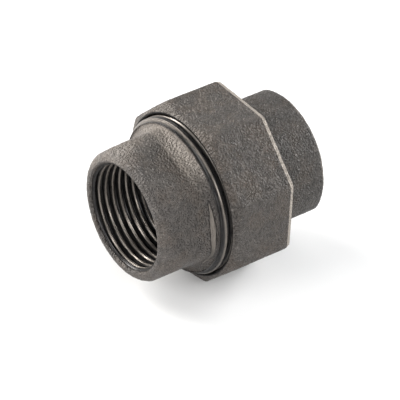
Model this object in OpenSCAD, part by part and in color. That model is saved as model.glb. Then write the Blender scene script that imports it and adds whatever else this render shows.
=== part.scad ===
// Pipe union for 1 inch pipe: a female threaded end, a female tail piece, an
// eight-sided union nut that pulls the two together, and a flat gasket between.
// All lengths in mm. Each piece is drawn along +Z from the mouth of the
// threaded end, then laid down so that the pipe axis is +X and the origin is
// on the axis at mid length. The nut rests on one of its flats, facing -Z.

/* [View] */
// Sub-part to draw

/* [Overall] */
// Length from mouth to mouth, nut tight
overall_length = 56.5; // [50:0.5:62]
// Radius of the waterway between the two pipe threads
waterway_radius = 13.5; // [12:0.1:14]

/* [Pipe thread] */
// Minor radius of the 1 inch parallel pipe thread (both mouths)
pipe_minor_radius = 15.1455; // [15:0.0005:15.3]
// Depth of the threaded wall from each mouth
pipe_thread_length = 17; // [14:0.5:18]
// Radius of the countersink at each mouth
countersink_radius = 16.6; // [15.5:0.1:17]

/* [Union thread] */
// Pitch of the union thread, eleven turns to the inch
pitch = 2.309; // [2:0.001:2.6]
// Crest radius of the outside thread
thread_crest_radius = 23.35; // [23:0.01:24]
// Root radius of the outside thread
thread_root_radius = 21.95; // [21.8:0.01:23]
// Radial clearance between the nut and the outside thread
thread_clearance = 0.25; // [0.15:0.01:0.4]
// Extra axial width of the nut's groove on each flank
flank_clearance = 0.05; // [0:0.01:0.1]
// How far past the start of the thread one turn of its profile begins
thread_offset = 0.8; // [0:0.1:2.3]
// Facets in one turn of the helix
turn_facets = 36; // [24:2:48]

/* [Threaded end] */
// Width of the six-sided barrel across its flats
end_across_flats = 38.4; // [36:0.1:40]
// Radius of the rounded corners of the barrel
end_corner_radius = 21; // [19:0.1:22]
// Radius of the edge rounding at the mouth rim
end_rim_rounding = 2.4; // [1:0.1:3]
// Where the flare to the shoulder starts
flare_start = 11.6; // [9:0.1:13]
// Where the shoulder reaches its full radius
shoulder_start = 16.8; // [14:0.1:17]
// Radius of the plain shoulder
shoulder_radius = 22.2; // [21:0.1:24]
// Where the outside thread starts
union_thread_start = 17.4; // [15:0.1:18]
// Seat face of the threaded end
seat_position = 30; // [28:0.5:32]

/* [Flat gasket] */
// Thickness of the gasket
gasket_thickness = 2; // [1:0.1:3]
// Inner radius of the gasket
gasket_inner_radius = 14; // [13.6:0.1:15]
// Outer radius of the gasket
gasket_outer_radius = 21.6; // [20:0.1:22]

/* [Tail piece] */
// Radius of the head that the nut pulls on
head_radius = 21.9; // [21.5:0.1:22]
// Thickness of the head
head_thickness = 3.4; // [3:0.1:4]
// Width of the six-sided barrel across its flats
tail_across_flats = 36.9; // [34:0.1:38.5]
// Radius of the turned corners, small enough to pass through the nut
tail_corner_radius = 19.5; // [18.8:0.1:20.1]
// Radius of the edge rounding at the mouth rim
tail_rim_rounding = 1.4; // [1:0.1:3]

/* [Union nut] */
// Width of the eight-sided nut across its flats
nut_across_flats = 50.8; // [50:0.1:52]
// Front face of the nut
nut_front = 19.8; // [19:0.1:21]
// Length of the nut
nut_length = 20.1; // [19:0.1:21]
// Radius where the front cone meets the front face
cone_front_radius = 24.4; // [24.2:0.1:25.2]
// Slope of the front cone from the front face, in degrees
cone_slope = 56; // [30:1:60]
// Length of the bevel around the back face
back_bevel = 1.1; // [0.3:0.1:1.5]
// Depth of the bevel, in from the corners
back_bevel_depth = 0.5; // [0.3:0.1:1]
// Radius of the hole in the lip
lip_hole_radius = 20; // [19.8:0.1:20.6]
// Axial gap between the lip and the head of the tail piece
lip_gap = 0.12; // [0.1:0.01:0.2]
// Depth of the inside thread from the front face
nut_thread_depth = 11; // [10:0.5:12]

/* [Hidden] */
$fn = 96;
eps = 0.01;
gasket_end = seat_position + gasket_thickness;
head_end = gasket_end + head_thickness;
lip_start = head_end + lip_gap;
nut_back = nut_front + nut_length;
nut_corner_radius = nut_across_flats / 2 / cos(22.5);
nut_minor_radius = thread_root_radius + thread_clearance;
nut_major_radius = thread_crest_radius + thread_clearance;
end_corner_angle = 45;
tail_corner_angle = 45;
rim_blend = 25;

// Lays a piece drawn along +Z down along +X and centres its length.
module lay() {
    translate([-overall_length / 2, 0, 0]) rotate([0, 90, 0]) children();
}

// Points of a circular arc, as [r, z] pairs.
function arc(cr, cz, radius, from, to, steps) =
    [for (i = [0 : steps]) let (a = from + (to - from) * i / steps)
        [cr + radius * cos(a), cz + radius * sin(a)]];

// Outside of a mouth from its face (z = 0) inwards: a rounded edge, then a long
// arc out to the corner radius, so that the flats fade into the round rim.
function rim(face_r, rounding, corner_r) =
    let (edge_r = face_r + rounding * cos(rim_blend),
         edge_z = rounding * (1 - sin(rim_blend)),
         sweep = (corner_r - edge_r) / (1 - cos(rim_blend)))
    concat(arc(face_r, rounding, rounding, -90, -rim_blend, 7),
        arc(corner_r - sweep, edge_z + sweep * sin(rim_blend), sweep, -rim_blend + 5, 0, 4));

module ring_bar(radius, z0, z1) {
    translate([0, 0, z0]) cylinder(h = z1 - z0, r = radius);
}

module hex_bar(across_flats, corner_angle, z0, z1) {
    rotate([0, 0, corner_angle]) translate([0, 0, z0])
        cylinder(h = z1 - z0, r = across_flats / 2 / cos(30), $fn = 6);
}

// Rod with a right-handed thread, cut square at z0 and z1. The profile of one
// turn is root, flank, crest, flank. A lead cone trims or opens the thread.
module thread_rod(z0, z1, root, crest, widen, lead_z, lead_r, lead_slope, inside) {
    turns = ceil((z1 - z0) / pitch) + 3;
    first = union_thread_start + thread_offset;
    start = (floor((z0 - first) / pitch) - 1) * pitch + first;
    flat = pitch / 6;
    flank = pitch / 3;
    row = [[0, root], [flank, crest], [flank + flat + 2 * widen, crest],
           [2 * flank + flat + 2 * widen, root]];
    per = len(row);
    last = per * turns;
    n = turn_facets;

    function row_z(k) = start + pitch * floor(k / per) + row[k % per][0] - widen;
    function led(r, z) = inside ? max(r, lead_r - lead_slope * (z - lead_z))
                                : min(r, lead_r + lead_slope * (lead_z - z));
    function place(k, j) = let (a = 360 * j / n, z = row_z(k) + pitch * j / n,
                                r = led(row[k % per][1], z))
        [r * cos(a), r * sin(a), z];
    function index(k, j) = j < n ? k * n + j
        : k + per <= last ? (k + per) * n
        : (last + 1) * n + k - (last - per + 1);

    body = [for (k = [0 : last], j = [0 : n - 1]) place(k, j)];
    seam = [for (k = [last - per + 1 : last]) place(k, n)];
    low = len(body) + len(seam);
    axis_points = [[0, 0, row_z(0) + pitch / 2], [0, 0, row_z(last) + pitch / 2]];
    skin = [for (k = [0 : last - 1], j = [0 : n - 1], t = [0, 1])
        t == 0 ? [index(k, j), index(k + 1, j), index(k + 1, j + 1)]
               : [index(k, j), index(k + 1, j + 1), index(k, j + 1)]];
    caps = concat(
        [for (j = [0 : n - 1]) [low, index(0, j), index(0, j + 1)]],
        [for (k = [0 : per - 1]) [low, index(k + 1, 0), index(k, 0)]],
        [for (j = [0 : n - 1]) [low + 1, index(last, j + 1), index(last, j)]],
        [for (k = [last - per : last - 1]) [low + 1, index(k, n), index(k + 1, n)]]);
    intersection() {
        polyhedron(points = concat(body, seam, axis_points), faces = concat(skin, caps));
        ring_bar(crest + 4, z0, z1);
    }
}

// Inside of one end: pipe thread wall at its minor radius, and countersink.
module pipe_bore() {
    ring_bar(pipe_minor_radius, -eps, pipe_thread_length);
    sink = countersink_radius - pipe_minor_radius;
    translate([0, 0, -eps])
        cylinder(h = sink + eps, r1 = countersink_radius + eps, r2 = pipe_minor_radius);
}

module threaded_end() {
    rise = shoulder_start - flare_start;
    face_r = end_across_flats / 2 - end_rim_rounding;
    outline = concat([[0, 0]], rim(face_r, end_rim_rounding, end_corner_radius),
        [[end_corner_radius, flare_start + 4], [0, flare_start + 4]]);
    flare = concat([[0, flare_start]],
        [for (i = [0 : 6]) let (a = 15 * i)
            [shoulder_radius - 4 + 3.4 * (1 - cos(a)), flare_start + (rise - 0.6) * sin(a)]],
        arc(shoulder_radius - 0.6, shoulder_start, 0.6, -70, 0, 4),
        [[shoulder_radius, union_thread_start], [0, union_thread_start]]);
    color([0.16, 0.15, 0.14]) lay() difference() {
        union() {
            intersection() {
                hex_bar(end_across_flats, end_corner_angle, 0, flare_start + 3);
                rotate_extrude() polygon(outline);
            }
            rotate_extrude() polygon(flare);
            thread_rod(union_thread_start - 0.5, seat_position, thread_root_radius,
                thread_crest_radius, 0, seat_position, thread_root_radius - 0.1, 1, false);
        }
        pipe_bore();
        ring_bar(waterway_radius, pipe_thread_length - eps, seat_position + eps);
    }
}

module flat_gasket() {
    color([0.05, 0.05, 0.05]) lay() difference() {
        ring_bar(gasket_outer_radius, seat_position, gasket_end);
        ring_bar(gasket_inner_radius, seat_position - eps, gasket_end + eps);
    }
}

module tail_piece() {
    mouth = overall_length;
    barrel = mouth - head_end + 1;
    face_r = tail_across_flats / 2 - 0.8;
    outline = concat([[0, 0]], rim(face_r, tail_rim_rounding, tail_corner_radius),
        [[tail_corner_radius, barrel], [0, barrel]]);
    color([0.18, 0.17, 0.16]) lay() difference() {
        union() {
            ring_bar(head_radius, gasket_end, head_end);
            intersection() {
                hex_bar(tail_across_flats, tail_corner_angle, head_end - 1, mouth);
                translate([0, 0, mouth]) mirror([0, 0, 1])
                    rotate_extrude() polygon(outline);
            }
        }
        translate([0, 0, mouth]) mirror([0, 0, 1]) pipe_bore();
        ring_bar(waterway_radius, gasket_end - eps, mouth - pipe_thread_length + eps);
    }
}

module union_nut() {
    reach = nut_corner_radius + 1 - cone_front_radius;
    cone_length = reach / tan(cone_slope);
    color([0.15, 0.14, 0.13]) lay() difference() {
        intersection() {
            rotate([0, 0, 22.5]) translate([0, 0, nut_front]) union() {
                cylinder(h = nut_length - back_bevel, r = nut_corner_radius, $fn = 8);
                translate([0, 0, nut_length - back_bevel - eps])
                    cylinder(h = back_bevel + eps, r1 = nut_corner_radius,
                        r2 = nut_corner_radius - back_bevel_depth, $fn = 8);
            }
            rotate_extrude() polygon([[0, nut_front], [cone_front_radius, nut_front],
                [cone_front_radius + reach, nut_front + cone_length],
                [cone_front_radius + reach, nut_back + 1], [0, nut_back + 1]]);
        }
        thread_rod(nut_front - 1, nut_front + nut_thread_depth, nut_minor_radius,
            nut_major_radius, flank_clearance, nut_front, nut_major_radius + 0.3, 1, true);
        ring_bar(nut_major_radius + 0.15, nut_front + nut_thread_depth - 0.5, lip_start);
        ring_bar(lip_hole_radius, lip_start - 1, nut_back + 1);
    }
}

threaded_end();
flat_gasket();
tail_piece();
union_nut();
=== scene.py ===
"""Finish model of the pipe union: three iron castings with cut threads, and the gasket.

Every piece is one closed loft: rows of a cross-section, swept round the pipe axis.
Lengths in the code are millimetres, measured along the axis from the mouth of the
threaded end. Angles go from +Y towards +Z.
"""
import math

import bpy
import numpy as np
from mathutils import Matrix, Vector


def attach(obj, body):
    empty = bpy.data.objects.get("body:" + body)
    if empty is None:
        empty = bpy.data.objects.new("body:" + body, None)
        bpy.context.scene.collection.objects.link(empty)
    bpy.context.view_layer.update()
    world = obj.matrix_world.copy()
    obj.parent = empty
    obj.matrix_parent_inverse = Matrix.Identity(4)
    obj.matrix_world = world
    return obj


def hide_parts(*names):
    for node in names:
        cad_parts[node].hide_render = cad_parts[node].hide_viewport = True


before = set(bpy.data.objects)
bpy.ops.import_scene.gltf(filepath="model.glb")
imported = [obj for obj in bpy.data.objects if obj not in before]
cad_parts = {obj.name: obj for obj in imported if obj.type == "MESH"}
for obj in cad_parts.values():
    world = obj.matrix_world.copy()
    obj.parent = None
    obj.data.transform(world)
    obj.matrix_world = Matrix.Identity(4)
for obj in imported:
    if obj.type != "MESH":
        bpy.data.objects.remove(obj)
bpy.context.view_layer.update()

MM = 0.001
LENGTH = 56.5
MID = LENGTH / 2
PITCH = 2.309
WATERWAY = 13.5
PIPE_MINOR, PIPE_DEPTH, PIPE_PHASE = 15.15, 1.40, 0.6
UNION_ROOT, UNION_CREST = 21.95, 23.3
UNION_START = 17.4
NUT_FRONT, NUT_BACK = 19.8, 39.9
HELIX = 18.0
NUT_FLAT, NUT_CORNER = 25.4, 1.078
NUT_THREAD_SHARP = 1.22
CONE_FRONT, CONE_RISE = 24.4, 1.48
BEVEL_LENGTH, BEVEL_DEPTH = 1.35, 0.5
SEAT, TAIL_FACE = 30.0, 32.0


# ------------------------------------------------------------------ shape helpers
def smooth_min(a, b, k):
    """The lower of a and b, blended over k."""
    h = np.clip(0.5 + 0.5 * (b - a) / k, 0, 1)
    return b * (1 - h) + a * h - k * h * (1 - h)


def smooth_max(a, b, k):
    return -smooth_min(-a, -b, k)


def step(lo, hi, x):
    t = np.clip((x - lo) / (hi - lo), 0, 1)
    return t * t * (3 - 2 * t)


def prism(theta, sides, flat, corner_at, corner_r, k):
    """Radius of a regular prism at theta, its corners rounded to corner_r."""
    half = math.pi / sides
    turn = np.mod(theta - corner_at, 2 * half) - half
    return smooth_min(flat / np.cos(turn), np.full_like(theta, corner_r), k)


def end_prism(theta):
    return prism(theta, 6, 19.2, math.radians(15), 21.3, 0.8)


def nut_prism(theta):
    """Radius of the nut's octagon, for a flat at radius 1."""
    return prism(theta, 8, 1.0, math.radians(22.5), NUT_CORNER, 0.02)


def nut_cone(x):
    return CONE_FRONT + (x - NUT_FRONT) * CONE_RISE


def ridge(x, theta, sharp=1.0):
    """0 in the root and 1 on the crest of a right-handed thread."""
    u = np.mod((x - HELIX) / PITCH - theta / (2 * math.pi) - 0.25, 1.0)
    tri = 1 - np.abs(2 * u - 1)
    return step(0.10, 0.90, np.clip(tri * sharp, 0, 1))


def grain(p, size, seed, waves=48):
    """Smooth random field of about unit spread, with features of that size."""
    rng = np.random.default_rng(seed)
    k = rng.normal(size=(waves, 3))
    k *= (2 * math.pi / size * rng.uniform(0.6, 1.4, waves) / np.linalg.norm(k, axis=1))[:, None]
    out = np.zeros(len(p))
    for row, phase in zip(k, rng.uniform(0, 2 * math.pi, waves)):
        out += np.cos(p @ row + phase)
    return out * math.sqrt(2 / waves)


def arc(cx, cr, radius, a0, a1, n):
    """Rows (x, r) along an arc. Angle 0 points to +x and 90 outwards."""
    a = np.radians(np.linspace(a0, a1, n))
    return list(zip(cx + radius * np.cos(a), cr + radius * np.sin(a)))


def line(x0, r0, x1, r1, n):
    """n rows from the first point up to, not including, the second."""
    t = np.arange(n) / n
    return list(zip(x0 + (x1 - x0) * t, r0 + (r1 - r0) * t))


def loft(sections, theta, radius):
    """sections is a list of (tag, rows). radius(tag, x, r, theta) gives the swept
    radius. Returns the tag of each row, the grid of points, and each point's angle."""
    tags = np.concatenate([[tag] * len(rows) for tag, rows in sections])
    xr = np.array([p for _, rows in sections for p in rows], float)
    x = np.repeat(xr[:, :1], len(theta), axis=1)
    r = np.repeat(xr[:, 1:], len(theta), axis=1)
    th = np.repeat(theta[None], len(xr), axis=0)
    for tag in sorted(set(tags)):
        m = tags == tag
        r[m] = radius(tag, x[m], r[m], th[m])
    return tags, np.stack([x, r * np.cos(th), r * np.sin(th)], axis=2), th


def normals(p):
    du = np.roll(p, -1, axis=0) - np.roll(p, 1, axis=0)
    dv = np.roll(p, -1, axis=1) - np.roll(p, 1, axis=1)
    n = np.cross(dv, du)
    return n / np.maximum(np.linalg.norm(n, axis=2, keepdims=True), 1e-9)


def build(name, p, masks, material, body, stands_for):
    """Makes the mesh object from the grid, with one float attribute per mask."""
    rows, cols = p.shape[:2]
    i, j = np.meshgrid(np.arange(rows), np.arange(cols), indexing="ij")
    i2, j2 = (i + 1) % rows, (j + 1) % cols
    quads = np.stack([i * cols + j, i * cols + j2, i2 * cols + j2, i2 * cols + j], axis=2)
    quads = quads.reshape(-1, 4)
    verts = p.reshape(-1, 3).copy()
    verts[:, 0] -= MID
    verts *= MM
    mesh = bpy.data.meshes.new(name)
    mesh.vertices.add(len(verts))
    mesh.vertices.foreach_set("co", verts.astype(np.float32).ravel())
    mesh.loops.add(quads.size)
    mesh.loops.foreach_set("vertex_index", quads.astype(np.int32).ravel())
    mesh.polygons.add(len(quads))
    mesh.polygons.foreach_set("loop_start", np.arange(0, quads.size, 4, dtype=np.int32))
    mesh.polygons.foreach_set("use_smooth", np.ones(len(quads), bool))
    mesh.update(calc_edges=True)
    mesh.validate()
    for key, values in masks.items():
        layer = mesh.attributes.new(key, "FLOAT", "POINT")
        layer.data.foreach_set("value", values.astype(np.float32).ravel())
    mesh.materials.append(material)
    obj = bpy.data.objects.new(name, mesh)
    bpy.context.scene.collection.objects.link(obj)
    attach(obj, body)
    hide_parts(stands_for)
    return obj


def roughen(p, cast, seed, depth, size):
    """Sinks the cast skin below the drawn surface by up to depth, never above it."""
    flat = p.reshape(-1, 3)
    wave = 0.55 * grain(flat, size, seed) + 0.3 * grain(flat, size * 0.42, seed + 1)
    wave += 0.35 * grain(flat, size * 3.5, seed + 2)
    sink = depth * np.clip(0.5 - 0.3 * wave, 0, 1).reshape(p.shape[:2])
    return p - normals(p) * (sink * cast)[..., None]


# ------------------------------------------------------------------ materials
class Nodes:
    """Short way to write a node tree."""

    def __init__(self, name):
        self.mat = bpy.data.materials.new(name)
        self.mat.use_nodes = True
        self.tree = self.mat.node_tree
        self.bsdf = self.tree.nodes["Principled BSDF"]
        pos = self.add("ShaderNodeTexCoord").outputs["Object"]
        self.mm = self.add("ShaderNodeVectorMath", {0: pos, 1: (1000, 1000, 1000)},
                           operation="MULTIPLY").outputs[0]

    def add(self, kind, inputs=None, **props):
        node = self.tree.nodes.new(kind)
        for key, value in props.items():
            setattr(node, key, value)
        for key, value in (inputs or {}).items():
            if isinstance(value, bpy.types.NodeSocket):
                self.tree.links.new(value, node.inputs[key])
            else:
                node.inputs[key].default_value = value
        return node

    def noise(self, scale, detail=4.0, rough=0.6, vector=None):
        return self.add("ShaderNodeTexNoise", {
            "Vector": vector or self.mm, "Scale": scale, "Detail": detail,
            "Roughness": rough}).outputs["Fac"]

    def cells(self, scale, vector, feature="F1"):
        return self.add("ShaderNodeTexVoronoi", {"Vector": vector, "Scale": scale},
                        feature=feature).outputs["Distance"]

    def mask(self, name):
        return self.add("ShaderNodeAttribute", attribute_name=name).outputs["Fac"]

    def math(self, op, a, b=0.0):
        return self.add("ShaderNodeMath", {0: a, 1: b}, operation=op).outputs[0]

    def span(self, value, lo, hi, out_lo=0.0, out_hi=1.0):
        return self.add("ShaderNodeMapRange", {
            "Value": value, "From Min": lo, "From Max": hi, "To Min": out_lo,
            "To Max": out_hi}, interpolation_type="SMOOTHSTEP").outputs["Result"]

    def mix(self, fac, a, b):
        node = self.add("ShaderNodeMix", {"Factor": fac}, data_type="RGBA")
        for socket, value in ((node.inputs[6], a), (node.inputs[7], b)):
            if isinstance(value, bpy.types.NodeSocket):
                self.tree.links.new(value, socket)
            else:
                socket.default_value = (*value, 1.0)
        return node.outputs[2]

    def to(self, socket, value):
        if isinstance(value, bpy.types.NodeSocket):
            self.tree.links.new(value, self.bsdf.inputs[socket])
        else:
            self.bsdf.inputs[socket].default_value = value


def iron(name, base, peel, peel_size, seed):
    """Black sand-cast iron with machined threads. peel is how coarse the skin is.
    Masks: cut = machined, crest = height on a thread, which sets the painted highlight on crests
    and the painted shade in roots, the wear mask = rubbing on edges plus painted light on the side
    facing up."""
    n = Nodes(name)
    cut, crest, wear_and_painted_light = n.mask("cut"), n.mask("crest"), n.mask("wear_and_painted_light")
    shifted = n.add("ShaderNodeVectorMath", {0: n.mm, 1: (seed * 7.3, seed * 3.1, seed * 5.7)},
                    operation="ADD").outputs[0]
    patches = n.noise(0.16, 3, 0.55, shifted)
    mottle = n.noise(0.5, 5, 0.7, shifted)
    fine = n.noise(3.4, 4, 0.75, shifted)
    pebbles = n.cells(peel_size, shifted, "SMOOTH_F1")
    sand = n.cells(3.1, shifted)

    dark = tuple(c * 0.78 for c in base)
    light = tuple(min(1, c * 1.28) for c in base)
    cast_col = n.mix(n.span(mottle, 0.36, 0.66), dark, light)
    cast_col = n.mix(n.span(patches, 0.42, 0.62, 0, 0.5), cast_col,
                     (base[0] * 1.25, base[1] * 1.13, base[2] * 1.0))
    rust = n.math("MULTIPLY", n.span(n.noise(1.7, 3, 0.6, shifted), 0.60, 0.72, 0, 0.42),
                  n.span(patches, 0.45, 0.6))
    cast_col = n.mix(rust, cast_col, (0.15, 0.082, 0.058))
    # Painted glints: small bright specks mixed into the base colour as painted highlights; they
    # also lower the roughness a little.
    glint = n.math("MULTIPLY", n.span(sand, 0.24, 0.10), n.span(fine, 0.50, 0.60))
    cast_col = n.mix(n.math("MULTIPLY", glint, 0.8), cast_col, (0.55, 0.50, 0.44))
    # Lightens the skin by the wear mask: rubbing on edges, plus painted light on the side facing
    # up.
    rubbed_and_lit = n.math("MULTIPLY", wear_and_painted_light, n.span(fine, 0.30, 0.60, 0.55, 1.0))
    cast_col = n.mix(n.span(rubbed_and_lit, 0.15, 0.85), cast_col, (0.34, 0.30, 0.26))

    stretched = n.add("ShaderNodeVectorMath", {0: shifted, 1: (5.0, 0.5, 0.5)},
                      operation="MULTIPLY").outputs[0]
    streak = n.noise(1.0, 3, 0.6, stretched)
    # Machined metal: the near-black tone in the thread roots and recessed faces is painted shade,
    # and the light tone on the thread crests is a painted highlight; the crest mask picks between
    # them.
    cut_shade = n.mix(n.span(streak, 0.35, 0.65), (0.014, 0.014, 0.015), (0.030, 0.028, 0.027))
    cut_highlight = n.mix(n.span(streak, 0.35, 0.65), (0.15, 0.132, 0.116), (0.22, 0.196, 0.172))
    cut_col = n.mix(n.span(crest, 0.55, 1.0), cut_shade, cut_highlight)
    n.to("Base Color", n.mix(cut, cast_col, cut_col))

    duller = n.math("ADD", fine, n.math("MULTIPLY", glint, -0.5))
    cast_rough = n.span(duller, 0.25, 0.7, 0.36, 0.62)
    cut_rough = n.span(streak, 0.3, 0.7, 0.26, 0.42)
    mix_rough = n.add("ShaderNodeMix", {"Factor": cut, 2: cast_rough, 3: cut_rough},
                      data_type="FLOAT")
    n.to("Roughness", mix_rough.outputs[0])
    metal = n.add("ShaderNodeMix", {"Factor": cut, 2: 0.35, 3: 0.75}, data_type="FLOAT")
    n.to("Metallic", metal.outputs[0])
    n.to("Specular IOR Level", 0.6)

    height = n.math("ADD", n.math("MULTIPLY", n.span(pebbles, 0.0, 0.62, 1.0, 0.0), peel),
                    n.math("MULTIPLY", fine, 0.55))
    height = n.math("ADD", height, n.math("MULTIPLY", mottle, 0.8))
    height = n.math("MULTIPLY", height, n.span(cut, 0, 1, 1.0, 0.0))
    along = n.add("ShaderNodeSeparateXYZ", {0: n.mm}).outputs[0]
    rings = n.math("SINE", n.math("MULTIPLY", along, 17.0))
    height = n.math("ADD", height, n.math("MULTIPLY", rings, n.math("MULTIPLY", cut, 0.10)))
    bump = n.add("ShaderNodeBump", {"Height": height, "Distance": 0.0002, "Strength": 1.0})
    n.to("Normal", bump.outputs[0])
    return n.mat


def rubber():
    n = Nodes("gasket_rubber")
    speck = n.noise(2.2, 5, 0.7)
    colour = n.mix(n.span(speck, 0.35, 0.7), (0.020, 0.020, 0.021), (0.055, 0.053, 0.050))
    n.to("Base Color", colour)
    n.to("Roughness", n.span(speck, 0.3, 0.7, 0.62, 0.85))
    bump = n.add("ShaderNodeBump", {"Height": speck, "Distance": 0.00008, "Strength": 0.6})
    n.to("Normal", bump.outputs[0])
    return n.mat


# ------------------------------------------------------------------ threaded end
def tag_finder(tags, shape):
    """Returns a function that marks, over the whole grid, the rows with given tags."""
    return lambda *names: np.isin(tags, names)[:, None] & np.ones(shape, bool)


def pipe_wall(x, th, depth):
    """Radius of a female pipe thread that fades out at the mouth and at its end."""
    fade = step(16.6, 15.2, depth) * step(1.3, 2.2, depth)
    return PIPE_MINOR + PIPE_DEPTH * (1 - ridge(x, th)) * fade + 0.05


def thread_rows(x0, x1, r):
    n = max(2, int(abs(x1 - x0) / PITCH * 20))
    return line(x0, r, x1, r, n)


def pipe_mouth(reverse):
    """Rows of a female pipe thread, from the waterway out to the mouth face, for the
    threaded end. The tail piece mirrors them."""
    rows = [("bore", line(17.6, WATERWAY, 17.0, 14.9, 3)
             + line(17.0, PIPE_MINOR, 16.6, PIPE_MINOR, 2)),
            ("pipe", thread_rows(16.6, 1.5, PIPE_MINOR)),
            ("sink", line(1.5, 15.3, 0.75, 15.95, 4)),
            ("lip", arc(0.75, 16.75, 0.75, 262, 186, 7))]
    return [(tag, [(LENGTH - x, r) for x, r in part]) for tag, part in rows] if reverse else rows


def end_radius(tag, x, r, th):
    if tag == "barrel":
        return smooth_min(end_prism(th), r, 0.45)
    if tag == "flare":
        return smooth_max(end_prism(th), r, 1.5)
    if tag == "union":
        fade = step(UNION_START - 0.2, UNION_START + 0.7, x)
        lead = 23.4 - np.clip(x - 28.9, 0, 9) * 1.3
        cut = UNION_ROOT + (UNION_CREST - UNION_ROOT) * ridge(x, th)
        return np.minimum(r * (1 - fade) + cut * fade, lead)
    if tag == "pipe":
        return pipe_wall(x + PIPE_PHASE, th, x)
    return r


def make_end(material):
    theta = np.linspace(0, 2 * math.pi, 276, endpoint=False)
    rim = arc(2.3, 16.9, 2.3, 180, 116, 9)
    long_arc = [(1.38 + 7.4 * t, 18.97 + 2.4 * math.sin(t * math.pi / 2))
                for t in np.linspace(0.04, 1, 26)]
    a = np.linspace(0, 1, 20)
    flare_x = 10.4 + 6.5 * np.sin(a * math.pi / 2)
    flare_r = 18.3 + 3.75 * (1 - np.cos(a * math.pi / 2))
    sections = [
        ("barrel", rim + long_arc),
        ("barrel", line(9.05, 22.4, 10.4, 22.4, 5)),
        ("flare", list(zip(flare_x, flare_r))),
        ("collar", arc(16.95, 22.05, 0.2, 170, 95, 4)),
        ("collar", line(17.0, 22.25, 17.35, 22.25, 2)),
        ("union", thread_rows(17.35, 29.95, 22.2)),
        ("face", [(SEAT, 21.95), (SEAT, 21.5)] + line(SEAT, 20.0, SEAT, 14.0, 5) + [(SEAT, 13.9)]),
        ("bore", [(29.9, 13.6), (29.7, WATERWAY)] + line(29.0, WATERWAY, 17.8, WATERWAY, 10)),
    ] + pipe_mouth(False)
    tags, p, th = loft(sections, theta, end_radius)
    x = p[..., 0]
    tag_is = tag_finder(tags, x.shape)
    cast = tag_is("barrel", "flare", "lip").astype(float) + tag_is("collar") * 0.45
    crest = np.zeros(x.shape)
    m = tag_is("union")
    crest[m] = ridge(x, th)[m] * 0.9
    m = tag_is("pipe")
    crest[m] = ridge(x + PIPE_PHASE, th)[m]
    crest[tag_is("sink", "face")] = 0.45
    # A crescent on the flare, on the side facing -Y, given the smooth machined finish and a light
    # colour: a painted highlight where the flare's shoulder catches the light.
    side = np.cos(th - math.radians(-176))
    width = 0.8 * np.clip((side - 0.80) / 0.20, 0, 1) ** 0.6
    turned = step(0.0, 0.22, width - np.abs(x - 16.0)) * tag_is("flare") * (width > 0.05)
    cut = np.maximum(1 - cast, turned)
    crest = np.maximum(crest, turned * 0.85)
    wear_and_painted_light = np.exp(-((x - 0.9) / 0.7) ** 2) * tag_is("barrel") * 0.3
    p = roughen(p, cast * (1 - turned) * (1 - 0.6 * tag_is("collar", "lip")), 11, 0.15, 1.0)
    # Painted light: the skin is painted brighter on the side facing up and away, most of all on
    # the flare, where the light falls; it shares a mask with the rubbing at the mouth rim.
    lit_side = step(0.55, 0.95, np.cos(th - math.radians(52)))
    flare = step(10.5, 13.5, x) * step(0.2, 0.9, np.cos(th - math.radians(85)))
    wear_and_painted_light = np.maximum(wear_and_painted_light, np.maximum(lit_side * 0.42, flare * 0.55) * tag_is("barrel", "flare"))
    build("threaded_end_casting", p, {"cut": cut, "crest": crest, "wear_and_painted_light": wear_and_painted_light},
          material, "threaded_end", "threaded_end")


# ------------------------------------------------------------------ tail piece
def tail_radius(tag, x, r, th):
    if tag in ("barrel", "root"):
        body = prism(th, 6, 18.4, math.radians(15), 19.5, 0.35)
        return smooth_min(body, r, 0.35)
    if tag == "pipe":
        return pipe_wall(x, th, LENGTH - x)
    return r


def make_tail(material):
    theta = np.linspace(0, 2 * math.pi, 288, endpoint=False)
    rim = [(LENGTH - x, r) for x, r in arc(1.3, 17.7, 1.3, 180, 114, 8)]
    long_arc = [(LENGTH - (0.77 + 3.2 * t), 18.89 + 0.75 * math.sqrt(1 - (1 - t) ** 2))
                for t in np.linspace(0.06, 1, 9)]
    sections = [
        ("barrel", rim + long_arc),
        ("barrel", line(LENGTH - 4.6, 20.6, 36.3, 20.6, 56)),
        ("root", [(36.1, 19.9), (35.7, 19.7), (35.42, 19.8)]),
        ("head", [(35.4, 20.1)] + line(35.4, 20.4, 35.4, 21.7, 4)
         + [(35.32, 21.86)] + line(35.2, 21.9, 32.2, 21.9, 6) + [(32.06, 21.86)]),
        ("face", [(TAIL_FACE, 21.7)] + line(TAIL_FACE, 21.2, TAIL_FACE, 13.8, 8)
         + [(TAIL_FACE, 13.6)]),
        ("bore", [(32.15, WATERWAY)] + line(32.6, WATERWAY, 38.8, WATERWAY, 7)),
    ] + pipe_mouth(True)
    tags, p, th = (grid[::-1] for grid in loft(sections, theta, tail_radius))
    x = p[..., 0]
    tag_is = tag_finder(tags, x.shape)
    cast = tag_is("barrel", "root", "lip").astype(float)
    crest = np.zeros(x.shape)
    m = tag_is("pipe")
    crest[m] = ridge(x, th)[m]
    crest[tag_is("sink", "face", "head")] = 0.5
    wear_and_painted_light = np.exp(-((LENGTH - x - 0.5) / 0.5) ** 2) * tag_is("barrel") * 0.5
    p = roughen(p, cast * (1 - 0.6 * tag_is("lip")), 23, 0.14, 1.0)
    build("tail_piece_casting", p, {"cut": 1 - cast, "crest": crest, "wear_and_painted_light": wear_and_painted_light},
          material, "tail", "tail_piece")


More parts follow.
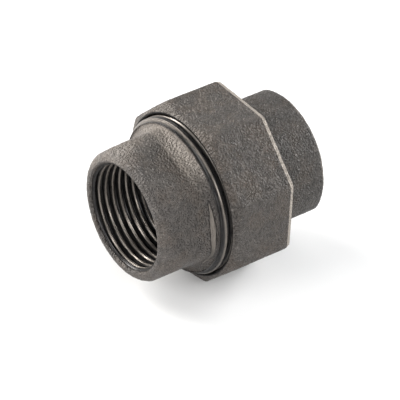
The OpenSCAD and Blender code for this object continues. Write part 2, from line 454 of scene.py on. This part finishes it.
# ------------------------------------------------------------------ union nut
def nut_radius(tag, x, r, th):
    if tag == "skin":
        fall = np.clip((x - NUT_BACK + BEVEL_LENGTH) / BEVEL_LENGTH, 0, 1)
        flat = NUT_FLAT - BEVEL_DEPTH * fall
        return smooth_min(nut_prism(th) * flat, nut_cone(x), 1.0)
    if tag == "bevel":
        return r * nut_prism(th)
    if tag == "inside":
        lead = 24.1 - (x - NUT_FRONT) * 0.9
        cut = UNION_ROOT + 0.3 + (UNION_CREST - UNION_ROOT) * ridge(x, th, NUT_THREAD_SHARP)
        fade = step(30.9, 30.3, x)
        return np.maximum(cut * fade + 23.55 * (1 - fade), lead)
    return r


def make_nut(material):
    sector = np.linspace(-1, 1, 50, endpoint=False)
    spread = np.sign(sector) * (1 - (1 - np.abs(sector)) ** 1.35)
    one = math.radians(22.5) * spread
    turns = np.concatenate([one + k * math.pi / 4 for k in range(8)])
    theta = np.sort(np.mod(turns, 2 * math.pi))
    sections = [
        ("skin", [(NUT_FRONT + d, 0) for d in (0.03, 0.15, 0.3, 0.45, 0.6, 0.75, 0.9, 1.05,
                                               1.2, 1.4, 1.6, 1.8, 2.0, 2.2, 2.5)]),
        ("skin", line(NUT_FRONT + 2.85, 0, NUT_BACK - 1.5, 0, 60)),
        ("skin", [(NUT_BACK - d, 0) for d in (1.4, 1.3, 1.15, 0.95, 0.75, 0.55, 0.38, 0.24,
                                              0.12)]),
        ("bevel", [(NUT_BACK - 0.03, 24.84), (NUT_BACK, 24.70), (NUT_BACK, 24.3)]),
        ("bevel", line(NUT_BACK, 23.4, NUT_BACK, 20.8, 5)),
        ("back", [(NUT_BACK, 20.35), (NUT_BACK - 0.06, 20.12), (NUT_BACK - 0.22, 20.0)]),
        ("back", line(NUT_BACK - 0.5, 20.0, 35.7, 20.0, 6) + [(35.58, 20.02), (35.52, 20.15)]),
        ("lip", line(35.52, 20.6, 35.52, 23.3, 5) + [(35.45, 23.55)]),
        ("lip", line(35.0, 23.6, 31.1, 23.6, 5)),
        ("inside", thread_rows(30.95, NUT_FRONT + 0.12, 0)),
        ("front", [(NUT_FRONT + 0.02, 24.05), (NUT_FRONT, 24.15), (NUT_FRONT, 24.25)]),
    ]
    tags, p, th = loft(sections, theta, nut_radius)
    x = p[..., 0]
    tag_is = tag_finder(tags, x.shape)
    cast = (tag_is("skin") | tag_is("bevel")).astype(float)
    crest = np.zeros(x.shape)
    m = tag_is("inside")
    crest[m] = (1 - ridge(x, th, NUT_THREAD_SHARP))[m] * 0.6 * step(20.4, 21.4, x)[m]
    crest[tag_is("lip", "back")] = 0.4
    r = np.hypot(p[..., 1], p[..., 2]) / nut_prism(th)
    bevel = step(NUT_BACK - 1.45, NUT_BACK - 1.25, x) * tag_is("skin", "bevel")
    bevel = bevel * step(24.2, 24.6, r)
    flat_r = NUT_FLAT / np.cos(np.mod(th + math.pi / 8, math.pi / 4) - math.pi / 8)
    on_cone = step(0.25, -0.15, nut_cone(x) - flat_r) * tag_is("skin")
    # Painted light: the cone is painted lighter on the side facing up, where the light falls; the
    # back bevel and, faintly, the whole cone are lightened as rubbing wear.
    lit_side = step(0.5, 0.95, np.cos(th - math.radians(70)))
    wear_and_painted_light = np.maximum(bevel, on_cone * (0.12 + 0.26 * lit_side))
    p = roughen(p, cast * (1 - 0.6 * bevel), 37, 0.16, 0.95)
    build("union_nut_casting", p, {"cut": 1 - cast, "crest": crest, "wear_and_painted_light": wear_and_painted_light},
          material, "nut", "union_nut")


def make_gasket(material):
    theta = np.linspace(0, 2 * math.pi, 160, endpoint=False)
    rows = (line(30.02, 14.2, 30.02, 21.3, 8) + arc(30.22, 21.4, 0.2, 180, 90, 4)
            + arc(31.78, 21.4, 0.2, 90, 0, 4) + line(31.98, 21.2, 31.98, 14.3, 8)
            + arc(31.83, 14.18, 0.15, 0, -90, 3) + arc(30.17, 14.18, 0.15, -90, -180, 3))
    _, p, _ = loft([("all", rows)], theta, lambda tag, x, r, th: r)
    build("gasket_ring", p, {}, material, "seal", "flat_gasket")


end_mat = iron("end_iron", (0.064, 0.057, 0.052), 2.3, 1.8, 1)
nut_mat = iron("nut_iron", (0.067, 0.059, 0.053), 3.8, 1.75, 2)
tail_mat = iron("tail_iron", (0.051, 0.046, 0.042), 2.4, 1.8, 3)
make_end(end_mat)
make_nut(nut_mat)
make_tail(tail_mat)
make_gasket(rubber())


# ------------------------------------------------------------------ stage and light
floor_mesh = bpy.data.meshes.new("floor")
floor_mesh.from_pydata([(-4, -4, 0), (4, -4, 0), (4, 4, 0), (-4, 4, 0)], [], [(0, 1, 2, 3)])
floor = bpy.data.objects.new("floor", floor_mesh)
floor.location = (0, 0, -NUT_FLAT * MM)
bpy.context.scene.collection.objects.link(floor)
paper = Nodes("paper")
paper.to("Base Color", paper.mix(paper.span(paper.noise(0.02, 2), 0.3, 0.7), (0.80, 0.80, 0.80),
                                 (0.82, 0.82, 0.817)))
paper.to("Roughness", 0.9)
floor_mesh.materials.append(paper.mat)

# The view: turned about the camera's own axes, then set back. Lengths are millimetres.
FOCAL_PER_SENSOR = 7.0
TURN_Y, TURN_Z, ROLL = math.radians(-29.36), math.radians(-22.5), math.radians(133.9)
SET_BACK = Vector((-21.8, 5.25, 772.0))
AXIS_SHIFT = 0.5
about_z = Matrix.Rotation(TURN_Z, 3, "Z")
about_y = Matrix.Rotation(TURN_Y, 3, "Y")
about_x = Matrix.Rotation(ROLL, 3, "X")
view = about_z @ about_y @ about_x
place = -(view.transposed() @ SET_BACK) - Vector((MID + AXIS_SHIFT, 0, 0))
cam_data = bpy.data.cameras.new("camera")
cam_data.sensor_width = 36.0
cam_data.lens = FOCAL_PER_SENSOR * cam_data.sensor_width
cam_data.clip_start, cam_data.clip_end = 0.01, 20
cam = bpy.data.objects.new("camera", cam_data)
right, down, ahead = view[0], view[1], view[2]
turn = Matrix((right, -down, -ahead)).transposed()
cam.matrix_world = Matrix.Translation(place * MM) @ turn.to_4x4()
bpy.context.scene.collection.objects.link(cam)
bpy.context.scene.camera = cam


def area(name, at, aim, size, power, colour):
    data = bpy.data.lights.new(name, "AREA")
    data.shape, data.size, data.energy, data.color = "DISK", size, power, colour
    obj = bpy.data.objects.new(name, data)
    obj.location = at
    obj.rotation_euler = (Vector(aim) - Vector(at)).to_track_quat("-Z", "Y").to_euler()
    bpy.context.scene.collection.objects.link(obj)


flat_ahead = Vector((ahead.x, ahead.y, 0)).normalized()
flat_right = Vector((right.x, right.y, 0)).normalized()
for turn_deg, rise_deg, power, colour in (
        (0, 25, 2.2, (1.0, 1.0, 1.0)), (120, 25, 4.3, (0.98, 0.99, 1.0)),
        (240, 25, 6.4, (1.0, 0.98, 0.955)), (300, 25, 2.4, (1.0, 0.99, 0.98)),
        (60, 32, 1.4, (0.98, 0.99, 1.0)), (60, 60, 0.2, (1.0, 1.0, 1.0))):
    turned, rise = math.radians(turn_deg), math.radians(rise_deg)
    level = flat_right * math.sin(turned) - flat_ahead * math.cos(turned)
    at = (level * math.cos(rise) + Vector((0, 0, math.sin(rise)))) * 0.7
    area(f"softbox_{turn_deg}_{rise_deg}", at, (0, 0, 0), 0.35, power, colour)

world = bpy.data.worlds.new("studio")
world.use_nodes = True
world.node_tree.nodes["Background"].inputs["Color"].default_value = (1.0, 1.0, 1.0, 1)
world.node_tree.nodes["Background"].inputs["Strength"].default_value = 0.40
bpy.context.scene.world = world
bpy.context.scene.view_settings.view_transform = "Standard"
